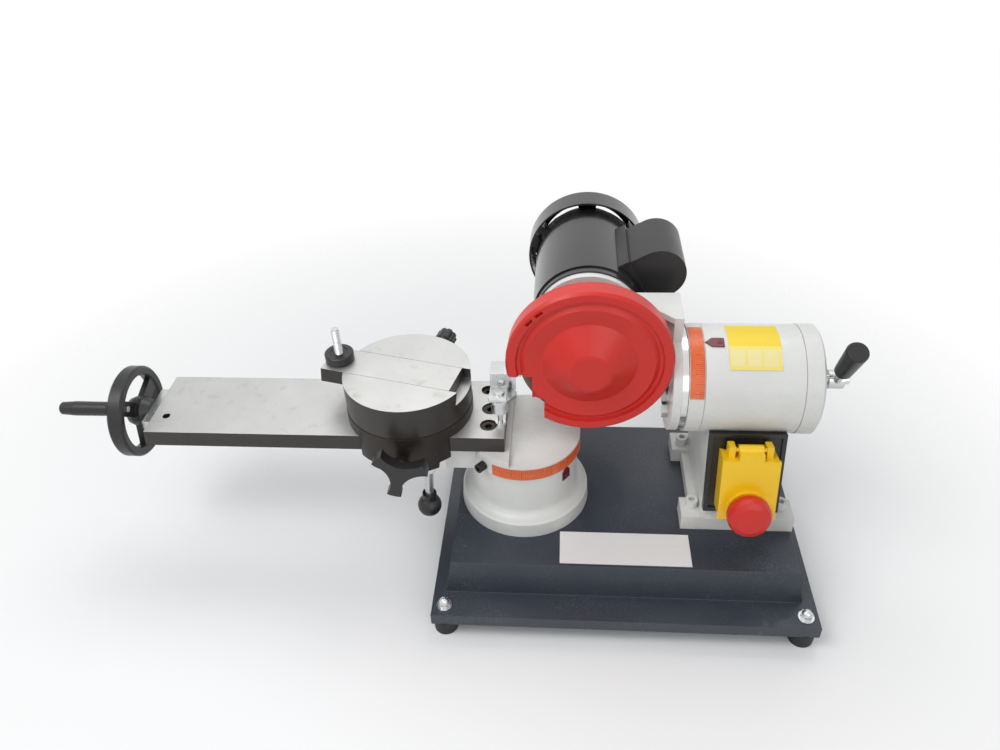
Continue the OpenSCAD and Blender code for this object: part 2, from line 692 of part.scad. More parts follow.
module bracket_bolts() {
    color([0.75, 0.77, 0.79]) {
        bracket_holes() {
            translate([0, 0, -3.4]) hex(13, 5.4);
            translate([0, 0, -2]) cylinder(h = 17.5, r = 3.95);
        }
        for (a = [45 : 90 : 315]) translate([sx, 0, sz]) rotate([0, a, 0])
            translate([0, face_y - 12, 40]) rotate([-90, 0, 0]) {
                hex(10, 5);
                translate([0, 0, 4]) cylinder(h = 14, r = 3);
            }
    }
}
bearing_r = 16;
module end_shields() {
    color([0.08, 0.08, 0.08]) difference() {
        union() {
            along_y(face_y, face_y + 8, motor_r - 1.5);
            along_y(guard_back_y, face_y + 1, 26 - gap);
            along_y(guard_back_y, guard_back_y + 5, 36);
            along_y(face_y + 7, face_y + 14, motor_r - 4 - gap);
        }
        along_y(guard_back_y - 1, face_y + 20, 9.5);
        for (y = shield_bearings) along_y(y, y + 9, bearing_r);
        along_y(guard_back_y - 1, guard_back_y + 12, bearing_r);
        along_y(face_y + 10, face_y + 20, motor_r - 9);
        for (a = [45 : 90 : 315]) translate([sx, 0, sz]) rotate([0, a, 0])
            translate([0, face_y - 1, 40]) rotate([-90, 0, 0]) cylinder(h = 20, r = 3);
    }
    y0 = face_y + motor_l;
    color([0.08, 0.08, 0.08]) difference() {
        union() {
            along_y(y0, y0 + 5, motor_r - 1);
            along_y(y0 - 14, y0 + 1, motor_r - 4 - gap);
        }
        along_y(y0 - 15, y0 + 6, 9.5);
        along_y(y0 - 15, y0 - 5, bearing_r);
    }
}
shield_bearings = [guard_back_y + 3, face_y + 5, face_y + motor_l - 14];
module bearings() {
    color([0.7, 0.7, 0.72]) for (y = shield_bearings) {
        difference() {
            along_y(y, y + 9, bearing_r - e);
            along_y(y - 1, y + 10, bearing_r - 3);
        }
        difference() {
            along_y(y, y + 9, 11);
            along_y(y - 1, y + 10, 8 + run);
        }
        for (a = [0 : 40 : 320]) translate([sx, y + 4.5, sz]) rotate([0, a, 0])
            translate([12, -3.5, 0]) rotate([-90, 0, 0]) cylinder(h = 7, r = 0.95);
    }
}
lead_r = 4;
lead_path = [[-10, 70, 198], [-9, 67, 184], [2, 54, 174], [18, 34, 175], [30, 20, 186],
    [42, 13, 202], [56, 12.6, 208], [110, 12.6, 208.3]];
module motor_lead() {
    steps = 5;
    pts = [for (i = [0 : len(lead_path) - 2], k = [0 : steps - 1]) spline(i, k / steps)];
    all = concat(pts, [lead_path[len(lead_path) - 1]]);
    color([0.04, 0.04, 0.04]) tube(all, lead_r);
}
function knot(i) = lead_path[min(max(i, 0), len(lead_path) - 1)];
function spline(i, t) = 0.5 * (2 * knot(i) + t * (knot(i + 1) - knot(i - 1))
    + t * t * (2 * knot(i - 1) - 5 * knot(i) + 4 * knot(i + 1) - knot(i + 2))
    + t * t * t * (3 * knot(i) - knot(i - 1) - 3 * knot(i + 1) + knot(i + 2)));
function unit(v) = v / norm(v);
// a round tube of ten sides swept along a list of points
module tube(path, r) {
    sides = 10;
    n = len(path);
    dirs = [for (i = [0 : n - 1]) unit(path[min(i + 1, n - 1)] - path[max(i - 1, 0)])];
    side = [0.6, 0.8, 0];
    rings = [for (i = [0 : n - 1]) let (u = unit(cross(dirs[i], side)), v = cross(u, dirs[i]))
        for (k = [0 : sides - 1]) path[i] + r * (u * cos(36 * k) + v * sin(36 * k))];
    walls = [for (i = [0 : n - 2], k = [0 : sides - 1]) let (m = (k + 1) % sides)
        [i * sides + k, i * sides + m, (i + 1) * sides + m, (i + 1) * sides + k]];
    ends = [[for (k = [sides - 1 : -1 : 0]) k], [for (k = [0 : sides - 1]) (n - 1) * sides + k]];
    polyhedron(rings, concat(walls, ends), convexity = 6);
}
module motor_shell() {
    color([0.04, 0.04, 0.04]) difference() {
        union() {
            along_y(face_y + 8, face_y + motor_l, motor_r);
            translate([lead_path[0][0], lead_path[0][1], lead_path[0][2]]) cylinder(h = 20, r = 8);
        }
        along_y(face_y + 7, face_y + motor_l + 1, motor_r - 4);
    }
}
module stator() {
    color([0.55, 0.4, 0.3]) difference() {
        union() {
            along_y(face_y + 34, face_y + 92, motor_r - 4 - e);
            along_y(face_y + 22, face_y + 104, motor_r - 12);
        }
        along_y(face_y + 20, face_y + 106, 28.5);
    }
}
module fan_cover() {
    y0 = face_y + motor_l - 3;
    y1 = face_y + motor_l + 26;
    color([0.04, 0.04, 0.04]) difference() {
        union() {
            along_y(y0, y1 - 2, fan_cover_r);
            translate([sx, y1 - 2, sz]) rotate([-90, 0, 0])
                cylinder(h = 2, r1 = fan_cover_r, r2 = fan_cover_r - 2);
        }
        along_y(y0 - 1, y1 - 2, fan_cover_r - 2);
        for (r = [16 : 9 : 52], k = [0 : 3]) translate([sx, y1 - 3, sz]) rotate([-90, 0, 0])
            rotate(k * 90) sector(r, r + 4, 5, 12, 78);
    }
    color([0.04, 0.04, 0.04]) for (a = [60, 180, 300]) translate([sx, y0 + 4, sz]) rotate([0, a, 0])
        translate([-5, 0, motor_r - 1]) cube([10, 12, fan_cover_r - motor_r]);
}
cap_turn = 28;
cap_box_w = 50;
cap_box_l = 66;
cap_reach = 47;
can_out = motor_r + cap_reach - cap_box_w / 2;
module at_cap_box() {
    translate([sx, face_y + 22, sz]) rotate([0, 90 - cap_turn, 0]) children();
}
module capacitor_box() {
    color([0.05, 0.05, 0.06]) at_cap_box() difference() {
        union() {
            translate([0, cap_box_l, 0]) rotate([90, 0, 0]) linear_extrude(cap_box_l) {
                translate([-cap_box_w / 2, 40]) square([cap_box_w, can_out - 40]);
                translate([0, can_out]) circle(r = cap_box_w / 2);
            }
            translate([-cap_box_w / 2 - 3, -4, 40]) cube([cap_box_w + 6, cap_box_l + 8, motor_r - 37]);
        }
        rotate([-90, 0, 0]) translate([0, 0, -10]) cylinder(h = cap_box_l + 20, r = motor_r + e);
        translate([0, cap_box_l - 4, can_out]) rotate([90, 0, 0]) cylinder(h = cap_box_l - 8, r = 20);
    }
}
module capacitor() {
    color([0.75, 0.76, 0.78]) at_cap_box() translate([0, cap_box_l - 4, can_out]) rotate([90, 0, 0])
        cylinder(h = cap_box_l - 12, r = 20 - e);
}
module spindle() {
    color([0.6, 0.6, 0.62]) {
        along_y(wheel_y - 20, face_y + motor_l + 17, 8);
        along_y(face_y + 34, face_y + 92, 28);
        along_y(wheel_y + grind_t / 2 + gap, guard_back_y - 1, 22);
        along_y(wheel_y - grind_t / 2 - 5, wheel_y - grind_t / 2 - gap, 22);
        along_y(wheel_y - 8, wheel_y + 8, 16 - run);
        translate([sx, wheel_y - 19, sz]) rotate([-90, 0, 0]) hex(24, 9.1);
    }
}
module cooling_fan() {
    y0 = face_y + motor_l + 6;
    color([0.1, 0.1, 0.1]) difference() {
        union() {
            along_y(y0, y0 + 12, 14);
            for (a = [0 : 45 : 315]) translate([sx, y0, sz]) rotate([0, a, 0])
                translate([-1, 0, 12]) cube([2, 11, 36]);
            along_y(y0, y0 + 2, 50);
        }
        along_y(y0 - 1, y0 + 14, 8 + e);
    }
}
module grinding_wheel() {
    color([0.42, 0.3, 0.25]) difference() {
        along_y(wheel_y - grind_t / 2, wheel_y + grind_t / 2, grind_r);
        along_y(wheel_y - 20, wheel_y + 20, 16);
    }
}
notch_z0 = sz - 39;
notch_z1 = sz - 14;
module wheel_guard() {
    w = guard_wall;
    d = -guard_y;
    color([0.85, 0.1, 0.06]) difference() {
        translate([sx, 0, sz]) rotate([90, 0, 0]) difference() {
            rotate_extrude() polygon([[0, 3 - guard_back_y], [guard_r - 1, 3 - guard_back_y],
                [guard_r, d - 3], [guard_r - 2, d], [guard_r - 9, d], [guard_r - 10, d - 3],
                [guard_r - 13, d - 3], [guard_r - 17, d], [42, d - 2], [36, d + 2], [20, d + 13],
                [17, d + 14], [0, d + 14]]);
            rotate_extrude() polygon([[0, -guard_back_y], [guard_r - w - 1, -guard_back_y],
                [guard_r - w - 1, d - 5], [42, d - 5], [36, d - 1], [20, d + 9], [0, d + 10]]);
        }
        box(sx - 100, sx - 51, -60, 40, notch_z0, notch_z1);
        box(sx - 100, sx - 40, -60, 40, sz - 90, notch_z0 + e);
        for (a = [40, 50]) translate([sx, 0, sz]) rotate([0, -a, 0])
            translate([-4, guard_y - 1, guard_r - 7]) cube([8, 4, 3]);
    }
    color([0.85, 0.1, 0.06]) difference() {
        along_y(guard_back_y - 3 - e, guard_back_y, guard_r - 1);
        along_y(guard_back_y - 5, guard_back_y + 2, 24);
        box(sx - 100, sx - 51, -60, 40, notch_z0, notch_z1);
        box(sx - 100, sx - 40, -60, 40, sz - 90, notch_z0 + e);
    }
}

// ---- switch ----
switch_z = plinth_z + 70;
switch_y = col_front + 13;
module switch_at() {
    translate([column_x - 0.5, switch_y, switch_z]) rotate([-lean, 0, 0]) children();
}
mush_z = -24;
button_zs = [8, mush_z];
hinge_z = 33;
module switch_unit() {
    color([0.06, 0.06, 0.06]) switch_at() difference() {
        union() {
            translate([-35, -8, -42]) cube([70, 7, 84]);
            translate([-23, -8, -29]) cube([46, 30, 58]);
        }
        translate([-31, -9, -38]) cube([62, 3, 76]);
    }
    color([0.96, 0.7, 0.03]) switch_at() difference() {
        union() {
            translate([-25, -26, -34]) cube([50, 20.1, 60]);
            for (i = [-1, 1]) translate([i * 17 - 3, -24, 26 - e]) cube([6, 12, 11]);
        }
        translate([-28, -21, hinge_z]) rotate([0, 90, 0]) cylinder(h = 56, r = 2 + run);
        for (z = button_zs) translate([0, -30, z]) rotate([-90, 0, 0]) cylinder(h = 18, r = 8 + gap);
    }
    color([0.7, 0.7, 0.72]) switch_at() translate([-20.5, -21, hinge_z]) rotate([0, 90, 0])
        cylinder(h = 41, r = 2);
}
module push_button(z) {
    switch_at() translate([0, -25.8, z]) rotate([-90, 0, 0]) cylinder(h = 12, r = 8);
}
module start_button() { color([0.05, 0.45, 0.15]) push_button(button_zs[0]); }
module stop_button() { color([0.7, 0.05, 0.04]) push_button(button_zs[1]); }
module stop_mushroom() {
    color([0.78, 0.06, 0.05]) switch_at() {
        translate([0, -37, mush_z]) rotate([90, 0, 0]) rotate_extrude() polygon([[0, -8], [7, -8],
            [7, 0], [18, 0], [20, 2], [20, 8], [18, 12], [13, 14.5], [0, 15.5]]);
    }
}
module switch_flap() {
    color([0.96, 0.7, 0.03]) switch_at() difference() {
        union() {
            translate([-26, -31, -36]) cube([52, 4.6, 62]);
            translate([-11, -31, 27]) cube([22, 10, 6]);
            translate([-11, -31, 25]) cube([22, 4.6, 8]);
            translate([-11, -21, hinge_z]) rotate([0, 90, 0]) cylinder(h = 22, r = 5);
            translate([0, -34, mush_z]) rotate([-90, 0, 0]) cylinder(h = 7, r = 19);
            translate([-9, -31, -42]) cube([18, 4, 8]);
        }
        translate([-28, -21, hinge_z]) rotate([0, 90, 0]) cylinder(h = 56, r = 2 + run);
        translate([0, -50, mush_z]) rotate([-90, 0, 0]) cylinder(h = 40, r = 7 + gap);
    }
}

place() base_tray();
place() rubber_feet();
place() foot_bolts();
place() name_plate();
place() table_pedestal();
place() floor_bolts();
place() pointers();
place() table_pivot_bolt();
place() rotary_table();
place() table_scale();
place() table_lock_screw();
place() slide_bar();
place() bar_screws();
place() screw_bearing();
place() lead_screw();
place() handwheel();
place() crank_pin();
place() crank_grip();
place() saddle();
place() saddle_plate();
place() feed_nut();
place() turntable();
place() turntable_bolt();
place() dovetail_strip();
place() blade_stud();
place() thumb_nut();
place() star_knob();
place() rear_knob();
place() clamp_lever();
place() ball_knob();
place() stop_bracket();
place() stop_bolt();
place() stop_finger();
place() head_column();
place() head_lock_screw();
place() end_cap();
place() operating_arm();
place() arm_grip();
place() tilt_sleeve();
place() tilt_scale();
place() quill();
place() motor_bracket();
place() bracket_bolts();
place() motor_shell();
place() end_shields();
place() bearings();
place() stator();
place() fan_cover();
place() capacitor_box();
place() capacitor();
place() spindle();
place() cooling_fan();
place() grinding_wheel();
place() wheel_guard();
place() motor_lead();
place() switch_unit();
place() switch_flap();
place() start_button();
place() stop_button();
place() stop_mushroom();
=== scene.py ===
"""Looks of the circular saw blade sharpener, in metres, on the CAD frame."""

import json
from math import cos, pi, radians, sin

import bmesh
import bpy
from mathutils import Matrix, Vector


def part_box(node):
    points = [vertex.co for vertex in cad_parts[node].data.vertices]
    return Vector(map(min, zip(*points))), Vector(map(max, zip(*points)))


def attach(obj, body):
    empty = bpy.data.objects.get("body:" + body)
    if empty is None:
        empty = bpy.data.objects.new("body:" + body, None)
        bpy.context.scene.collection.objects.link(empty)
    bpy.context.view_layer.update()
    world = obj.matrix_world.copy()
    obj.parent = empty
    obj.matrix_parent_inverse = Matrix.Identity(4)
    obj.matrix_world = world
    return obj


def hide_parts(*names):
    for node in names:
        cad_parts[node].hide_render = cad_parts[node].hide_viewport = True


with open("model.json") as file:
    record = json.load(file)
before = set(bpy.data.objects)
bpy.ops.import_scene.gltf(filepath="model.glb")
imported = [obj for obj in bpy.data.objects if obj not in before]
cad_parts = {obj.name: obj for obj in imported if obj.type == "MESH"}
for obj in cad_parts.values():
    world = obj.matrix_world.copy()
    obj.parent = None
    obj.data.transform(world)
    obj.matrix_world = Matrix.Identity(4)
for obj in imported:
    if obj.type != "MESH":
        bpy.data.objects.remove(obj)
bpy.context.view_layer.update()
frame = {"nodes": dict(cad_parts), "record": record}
NODES = frame["nodes"]
MM = 0.001


# ---- places taken from the frame ----
def centre(node):
    low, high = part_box(node)
    return (low + high) / 2


head_axis = centre("tilt_sleeve")
table_axis = centre("table_pedestal")
spindle_axis = centre("grinding_wheel")
housing_r = (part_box("end_cap")[1].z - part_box("end_cap")[0].z) / 2 - 0.5 * MM
stud_low, stud_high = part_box("blade_stud")
label_left = head_axis.x - 14 * MM

# ---- sizes used by more than one step ----
SHARP_EDGE = radians(32)
LABEL_WIDE = 46 * MM
LABEL_FROM, LABEL_TO = 106, 45
SWITCH_LEAN = radians(13.3)
YELLOW_HALF_WIDE = 25.2 * MM
YELLOW_DEEP = 10.5 * MM
COLUMN_SIDE = table_axis.x + 0.12
FLOOR_WIDE = 6.0
FADE_FROM, FADE_TO = 0.38, 0.75


# ---- camera ----
EYE = Vector((114.7, -642.7, 692.5)) * MM
YAW, PITCH, ROLL = -0.0956, 0.6556, 0.0449
LENS_MM = 29.77
SENSOR_MM = 36


def add_camera():
    """The camera from its eye point and its yaw, pitch and roll."""
    forward = Vector((sin(YAW) * cos(PITCH), cos(YAW) * cos(PITCH), -sin(PITCH)))
    level = Vector((cos(YAW), -sin(YAW), 0))
    down = forward.cross(level)
    right = cos(ROLL) * level + sin(ROLL) * down
    up = sin(ROLL) * level - cos(ROLL) * down
    data = bpy.data.cameras.new("camera")
    data.lens = LENS_MM
    data.sensor_width = SENSOR_MM
    data.clip_start = 0.01
    camera = bpy.data.objects.new("camera", data)
    bpy.context.collection.objects.link(camera)
    turn = Matrix((right, up, -forward)).transposed().to_4x4()
    camera.matrix_world = Matrix.Translation(EYE) @ turn
    bpy.context.scene.camera = camera


# ---- shader sums written as plain sums ----
class Sum:
    """A shader socket that can be added, multiplied and compared like a number."""

    def __init__(self, tree, socket):
        self.tree = tree
        self.socket = socket

    def node(self, kind, out=0, settings=None, **inputs):
        made = self.tree.nodes.new("ShaderNode" + kind)
        for name, value in (settings or {}).items():
            setattr(made, name, value)
        for name, value in inputs.items():
            key = int(name[1:]) if name[0] == "i" and name[1:].isdigit() else name.replace("_", " ")
            plug(self.tree, made.inputs[key], value)
        return Sum(self.tree, made.outputs[out])

    def maths(self, operation, a, b=0.0):
        return self.node("Math", settings={"operation": operation}, i0=a, i1=b)

    def __add__(self, other):
        return self.maths("ADD", self, other)

    __radd__ = __add__

    def __sub__(self, other):
        return self.maths("SUBTRACT", self, other)

    def __rsub__(self, other):
        return self.maths("SUBTRACT", other, self)

    def __mul__(self, other):
        return self.maths("MULTIPLY", self, other)

    __rmul__ = __mul__

    def __truediv__(self, other):
        return self.maths("DIVIDE", self, other)

    def __pow__(self, other):
        return self.maths("POWER", self, other)

    def __gt__(self, other):
        return self.maths("GREATER_THAN", self, other)

    def __lt__(self, other):
        return self.maths("LESS_THAN", self, other)

    def __mod__(self, other):
        return self.maths("FLOORED_MODULO", self, other)


def plug(tree, socket, value):
    if isinstance(value, Sum):
        tree.links.new(value.socket, socket)
    else:
        socket.default_value = value


class Finish:
    """One material: object coordinates in, a Principled surface out."""

    def __init__(self, name):
        self.material = bpy.data.materials.new(name)
        self.material.use_nodes = True
        self.tree = self.material.node_tree
        self.tree.nodes.clear()
        start = self.tree.nodes.new("ShaderNodeTexCoord")
        self.at = Sum(self.tree, start.outputs["Object"])
        split = self.tree.nodes.new("ShaderNodeSeparateXYZ")
        self.tree.links.new(start.outputs["Object"], split.inputs[0])
        self.x, self.y, self.z = (Sum(self.tree, out) for out in split.outputs)

    def noise(self, scale, detail=3.0, stretch=(1, 1, 1), rough=0.55):
        place = self.at.node("Mapping", Vector=self.at, Scale=stretch)
        return self.at.node("TexNoise", Vector=place, Scale=scale, Detail=detail, Roughness=rough)

    def band(self, value, low, high):
        clean = {"clamp": True}
        return self.at.node("MapRange", settings=clean, i0=value, i1=low, i2=high)

    def mix(self, amount, a, b):
        made = self.tree.nodes.new("ShaderNodeMix")
        made.data_type = "RGBA"
        plug(self.tree, made.inputs[0], amount)
        plug(self.tree, made.inputs[6], colour(a))
        plug(self.tree, made.inputs[7], colour(b))
        return Sum(self.tree, made.outputs[2])

    # ambient occlusion of the surface, used to paint shade into corners
    def crevice(self, reach=0.006):
        return self.at.node("AmbientOcclusion", out=1, settings={"samples": 4}, Distance=reach)

    def end(self, base, roughness, height=0.0, depth=0.0001, metallic=0.0, coat=0.0, edge=0.0007):
        surface = self.tree.nodes.new("ShaderNodeBsdfPrincipled")
        plug(self.tree, surface.inputs["Base Color"], colour(base))
        plug(self.tree, surface.inputs["Roughness"], roughness)
        plug(self.tree, surface.inputs["Metallic"], metallic)
        plug(self.tree, surface.inputs["Coat Weight"], coat)
        rounded = self.at.node("Bevel", settings={"samples": 4}, Radius=edge)
        if isinstance(height, Sum):
            rounded = self.at.node("Bump", Height=height, Distance=depth, Strength=1.0, Normal=rounded)
        plug(self.tree, surface.inputs["Normal"], rounded)
        out = self.tree.nodes.new("ShaderNodeOutputMaterial")
        self.tree.links.new(surface.outputs[0], out.inputs[0])
        return self.material


def colour(value):
    return value if isinstance(value, Sum) or len(value) == 4 else (*value, 1.0)


# ---- finishes ----
def cast_paint():
    """White enamel over rough sand casting, with painted shade darkening its corners."""
    f = Finish("white_cast_paint")
    lumps = f.noise(95, 4)
    grain = f.noise(520, 3)
    # painted shade: the occlusion mask darkens corners and recesses, broken into patches by noise
    corner_shade = f.band(f.crevice(0.008), 0.75, 0.25) * f.band(f.noise(60, 4), 0.35, 0.7)
    tone = f.mix(f.band(f.noise(14, 3), 0.35, 0.7), (0.76, 0.765, 0.74), (0.69, 0.695, 0.67))
    specks = f.band(f.noise(210, 2), 0.70, 0.74)
    tone = f.mix(specks * 0.12, tone, (0.42, 0.41, 0.38))
    # the painted corner shade is mixed in here towards a dark brown-grey
    base = f.mix(corner_shade * 0.55, tone, (0.35, 0.33, 0.29))
    return f.end(base, 0.34 + 0.18 * grain, lumps * 0.75 + grain * 0.25, 0.0009, coat=0.15)


def slate_paint():
    """Dark slate-blue paint on sheet steel, with pale dust lying on it."""
    f = Finish("slate_sheet_paint")
    peel = f.noise(420, 2)
    dust = f.band(f.noise(1500, 2), 0.60, 0.72) * f.band(f.noise(22, 4), 0.42, 0.66)
    scratch = f.band(f.noise(160, 2, (1, 14, 1)), 0.70, 0.76)
    tone = f.mix(f.noise(8, 3), (0.024, 0.031, 0.045), (0.034, 0.042, 0.058))
    base = f.mix(dust * 0.45 + scratch * 0.12, tone, (0.42, 0.44, 0.46))
    return f.end(base, 0.36 + dust * 0.25 + 0.1 * f.noise(30), peel, 0.00012, coat=0.1, edge=0.0012)


def ground_steel():
    """Bright ground steel on top faces, black oxide on the sides below."""
    f = Finish("ground_steel")
    geometry = f.tree.nodes.new("ShaderNodeNewGeometry")
    split = f.tree.nodes.new("ShaderNodeSeparateXYZ")
    f.tree.links.new(geometry.outputs["True Normal"], split.inputs[0])
    top = Sum(f.tree, split.outputs[2]) > 0.6
    lines = f.noise(90, 5, (1, 40, 1))
    cloud = f.noise(26, 5)
    stain = f.band(f.noise(60, 4), 0.58, 0.75)
    bright = f.mix(cloud, (0.44, 0.44, 0.43), (0.58, 0.58, 0.57))
    bright = f.mix(stain * 0.35, bright, (0.30, 0.28, 0.25))
    dark = f.mix(f.noise(40, 4), (0.014, 0.012, 0.011), (0.035, 0.028, 0.024))
    rough = top * (0.30 + 0.25 * lines + 0.12 * stain) + (1 - top) * 0.34
    return f.end(f.mix(top, dark, bright), rough, lines, 0.00004, metallic=top * 0.88, edge=0.0005)


def steel(name, low, high, rough, scratchy=0.1, stretch=(1, 1, 1)):
    """Bare or plated metal, clouded from low to high, with fine lines along its stretch."""
    f = Finish(name)
    cloud = f.noise(70, 4)
    lines = f.noise(260, 4, stretch)
    smear = f.band(f.noise(34, 3), 0.5, 0.7)
    base = f.mix(cloud, low, high)
    rough = rough + scratchy * lines + 0.08 * smear
    return f.end(base, rough, lines, 0.00004, metallic=0.95, edge=0.0004)


def black_oxide():
    """Oiled black-brown oxide with fine turning marks and worn spots."""
    f = Finish("black_oxide")
    rings = f.noise(60, 4, (1, 1, 22))
    worn = f.band(f.noise(90, 5), 0.62, 0.78)
    tone = f.mix(f.noise(28, 4), (0.016, 0.012, 0.010), (0.038, 0.029, 0.024))
    base = f.mix(worn * 0.35, tone, (0.20, 0.18, 0.17))
    return f.end(base, 0.30 + 0.2 * rings, rings, 0.00005, metallic=0.45)


def plastic(name, low, high, rough, grain=900, depth=0.00006, coat=0.0):
    """A moulded or painted skin with a fine grain, handling marks and a little dust."""
    f = Finish(name)
    fine = f.noise(grain, 2)
    handled = f.noise(45, 4)
    dust = f.band(f.noise(1300, 2), 0.66, 0.76) * f.band(handled, 0.5, 0.7)
    base = f.mix(dust * 0.12, f.mix(f.noise(20, 3), low, high), (0.6, 0.6, 0.58))
    return f.end(base, rough + 0.12 * handled, fine, depth, coat=coat, edge=0.0009)


def red_guard():
    """Glossy moulded red with faint flow marks and dust settled near the rim."""
    f = Finish("red_moulding")
    reach = ((f.x - spindle_axis.x) ** 2.0 + (f.z - spindle_axis.z) ** 2.0) ** 0.5
    swirl = f.noise(24, 4, (1, 3, 1))
    fine = f.noise(700, 2)
    dust = f.band(f.noise(900, 3), 0.6, 0.74) * f.band(reach, 0.02, 0.075)
    tone = f.mix(swirl, (0.56, 0.010, 0.005), (0.66, 0.016, 0.007))
    base = f.mix(dust * 0.05, tone, (0.8, 0.45, 0.4))
    return f.end(base, 0.36 + 0.12 * swirl, fine * 0.3 + swirl * 0.7, 0.0002, coat=0.08, edge=0.0012)


def scale_strip(name, angle_of, low, high):
    """Orange strip with dark graduations, paler where low to high degrees has worn."""
    f = Finish(name)
    turn = angle_of(f)
    fine = (turn % 2.0) < 0.35
    long = (turn % 10.0) < 0.5
    if name == "table_scale_strip":
        across, start = f.z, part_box("table_scale")[1].z - 6 * MM
    else:
        across, start = f.x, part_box("tilt_scale")[1].x - 5 * MM
    edge = f.band(across, start, start + 0.1 * MM)
    tall = f.band(across, start - 3 * MM, start - 2.9 * MM)
    ink = fine * edge + long * tall
    faded = f.band(turn, low, high)
    wear = f.noise(180, 4)
    tone = f.mix(faded, (0.76, 0.12, 0.02), (0.74, 0.26, 0.15))
    tone = f.mix(f.band(wear, 0.55, 0.75) * 0.25, tone, (0.75, 0.55, 0.42))
    base = f.mix(f.band(ink, 0.1, 0.9) * 0.75, tone, (0.16, 0.04, 0.02))
    return f.end(base, 0.32 + 0.2 * wear, wear, 0.00005, coat=0.2, edge=0.0003)


def table_angle(f):
    """Degrees round the table's upright axis, kept above zero."""
    away = (f.y - table_axis.y, f.x - table_axis.x)
    return f.at.maths("ARCTAN2", *away) * (180 / pi) + 360.0


def tilt_angle(f):
    """Degrees round the head's level axis, kept above zero."""
    away = (f.z - head_axis.z, head_axis.y - f.y)
    return f.at.maths("ARCTAN2", *away) * (180 / pi) + 360.0


def blank_plate():
    """The bare white plate on the tray, lightly scuffed."""
    f = Finish("blank_white_plate")
    scuff = f.band(f.noise(130, 4, (1, 5, 1)), 0.62, 0.72)
    tone = f.mix(f.noise(9), (0.86, 0.86, 0.85), (0.80, 0.80, 0.79))
    base = f.mix(scuff * 0.2, tone, (0.5, 0.5, 0.5))
    return f.end(base, 0.26 + 0.2 * f.noise(60), f.noise(300), 0.00003, coat=0.3)


def yellow_label():
    """A bare two-tone label: yellow above and paler below, with thin cell rules."""
    f = Finish("bare_yellow_label")
    turn = tilt_angle(f) - 360.0
    worn = f.noise(150, 4)
    lower = turn < 71.0
    tone = f.mix(lower * 0.55, (0.86, 0.63, 0.02), (0.88, 0.78, 0.30))
    cell = (turn > 49.0) * (turn < 67.0) * (((f.x * 1000.0) % 14.5) > 1.6)
    tone = f.mix(cell * 0.5, tone, (0.80, 0.76, 0.52))
    base = f.mix(f.band(worn, 0.55, 0.8) * 0.2, tone, (0.6, 0.5, 0.3))
    return f.end(base, 0.34 + 0.15 * worn, worn, 0.00005, edge=0.0002)


def abrasive():
    """Bonded grit of the grinding wheel."""
    f = Finish("bonded_abrasive")
    grit = f.at.node("TexVoronoi", Vector=f.at, Scale=1500.0)
    base = f.mix(f.noise(700, 2), (0.13, 0.075, 0.05), (0.34, 0.22, 0.16))
    return f.end(base, 0.85, grit, 0.0004, edge=0.0002)


RUBBER = ((0.010, 0.010, 0.010), (0.018, 0.017, 0.016))
GLOSS_BLACK = ((0.006, 0.006, 0.007), (0.011, 0.011, 0.012))
YELLOW = ((0.92, 0.56, 0.004), (0.95, 0.62, 0.008))
COPPER = ((0.50, 0.22, 0.10), (0.66, 0.32, 0.16))
FINISHES = {
    "slate_paint": slate_paint(),
    "white_paint": cast_paint(),
    "white_label": blank_plate(),
    "black_rubber": plastic("black_rubber", *RUBBER, 0.62, 500, 0.0002),
    "bright_steel": ground_steel(),
    "zinc_plate": steel("zinc_plate", (0.52, 0.54, 0.56), (0.70, 0.70, 0.68), 0.20),
    "black_oxide": black_oxide(),
    "black_plastic": plastic("black_plastic", (0.009, 0.009, 0.010), (0.016, 0.016, 0.016), 0.30),
    "black_paint": plastic("gloss_black_paint", *GLOSS_BLACK, 0.16, 300, 0.0001, 0.4),
    "orange_scale": scale_strip("table_scale_strip", table_angle, 340.0, 352.0),
    "maroon_plate": plastic("maroon_plate", (0.10, 0.010, 0.018), (0.15, 0.015, 0.025), 0.3, 600),
    "red_plastic": red_guard(),
    "green_plastic": plastic("green_button", (0.01, 0.22, 0.05), (0.02, 0.28, 0.07), 0.28),
    "yellow_plastic": plastic("yellow_moulding", *YELLOW, 0.24, 700, 0.00006, 0.2),
    "copper_winding": steel("copper_winding", *COPPER, 0.35, 0.2, (1, 30, 1)),
    "bronze": steel("bronze", (0.50, 0.34, 0.14), (0.62, 0.44, 0.20), 0.3),
    "abrasive": abrasive(),
}
TILT_SCALE = scale_strip("tilt_scale_strip", tilt_angle, 380.0, 372.0)
CHROME = steel("polished_bar", (0.62, 0.62, 0.62), (0.74, 0.73, 0.72), 0.12, 0.06, (20, 1, 1))
LABEL = yellow_label()


def dress_nodes():
    """Every CAD node gets the finish of its own material slot, and a few get a second one."""
    slots = {part["node"]: part["material_slot"] for part in frame["record"]["subparts"]}
    for name, node in NODES.items():
        node.data.materials.clear()
        node.data.materials.append(FINISHES[slots[name]])
        node.data.shade_smooth()
        node.data.set_sharp_from_angle(angle=SHARP_EDGE)
    NODES["tilt_scale"].data.materials[0] = TILT_SCALE
    NODES["quill"].data.materials[0] = CHROME
    NODES["lead_screw"].data.materials[0] = CHROME
    paint_faces("switch_unit", FINISHES["black_plastic"], behind_switch_front)
    paint_faces("stop_finger", FINISHES["black_plastic"], on_finger_pin)
    paint_faces("floor_bolts", FINISHES["white_paint"], on_column_foot)


def on_finger_pin(face):
    return face.center.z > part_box("stop_finger")[0].z + 3.9 * MM


def on_column_foot(face):
    return face.center.x > COLUMN_SIDE


